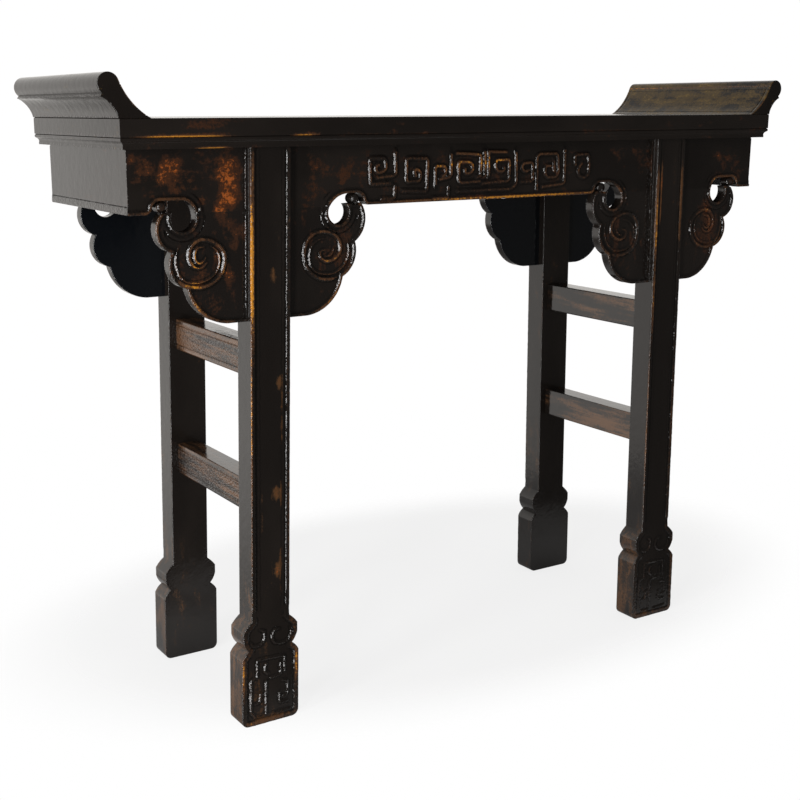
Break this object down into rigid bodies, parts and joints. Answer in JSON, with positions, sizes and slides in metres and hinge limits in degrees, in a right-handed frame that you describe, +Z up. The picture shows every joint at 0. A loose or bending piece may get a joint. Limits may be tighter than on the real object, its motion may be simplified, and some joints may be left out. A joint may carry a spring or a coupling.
{
  "type": "altar table",
  "caption": "Long narrow altar table with everted ends, recessed splayed legs, pierced cloud spandrels, ladder stretchers and carved feet, in worn black-brown lacquer",
  "frame": {"origin": "on the floor, under the middle of the table", "axes": "+X along the table's length to the right-hand end, +Y from the front to the back, +Z up"},
  "size_m": [1.1964, 0.33, 0.9047],
  "materials": {
    "lacquer_top": "gloss black-brown lacquer, worn to ochre wood along the edges",
    "lacquer_end": "gloss black-brown lacquer with an olive-brown sheen",
    "lacquer_apron": "gloss black-brown lacquer with orange-brown worn patches",
    "lacquer_spandrel": "gloss black-brown lacquer, reddish brown where thin",
    "lacquer_leg": "gloss black-brown lacquer, ochre along the beads",
    "lacquer_stretcher": "gloss black-brown lacquer",
    "underside_wood": "thinly lacquered bare wood"
  },
  "bodies": {
    "root": {"apron_back": "lacquer_apron", "apron_front": "lacquer_apron", "apron_left_end": "lacquer_apron", "apron_right_end": "lacquer_apron", "everted_end_left": "lacquer_end", "everted_end_right": "lacquer_end", "leg_back_left": "lacquer_leg", "leg_back_right": "lacquer_leg", "leg_front_left": "lacquer_leg", "leg_front_right": "lacquer_leg", "panel_batten_1": "underside_wood", "panel_batten_2": "underside_wood", "panel_batten_3": "underside_wood", "spandrel_back_left_inner": "lacquer_spandrel", "spandrel_back_left_outer": "lacquer_spandrel", "spandrel_back_right_inner": "lacquer_spandrel", "spandrel_back_right_outer": "lacquer_spandrel", "spandrel_front_left_inner": "lacquer_spandrel", "spandrel_front_left_outer": "lacquer_spandrel", "spandrel_front_right_inner": "lacquer_spandrel", "spandrel_front_right_outer": "lacquer_spandrel", "stretcher_left_lower": "lacquer_stretcher", "stretcher_left_upper": "lacquer_stretcher", "stretcher_right_lower": "lacquer_stretcher", "stretcher_right_upper": "lacquer_stretcher", "top_back_rail": "lacquer_top", "top_front_rail": "lacquer_top", "top_panel": "lacquer_top"}
  },
  "joints": []
}
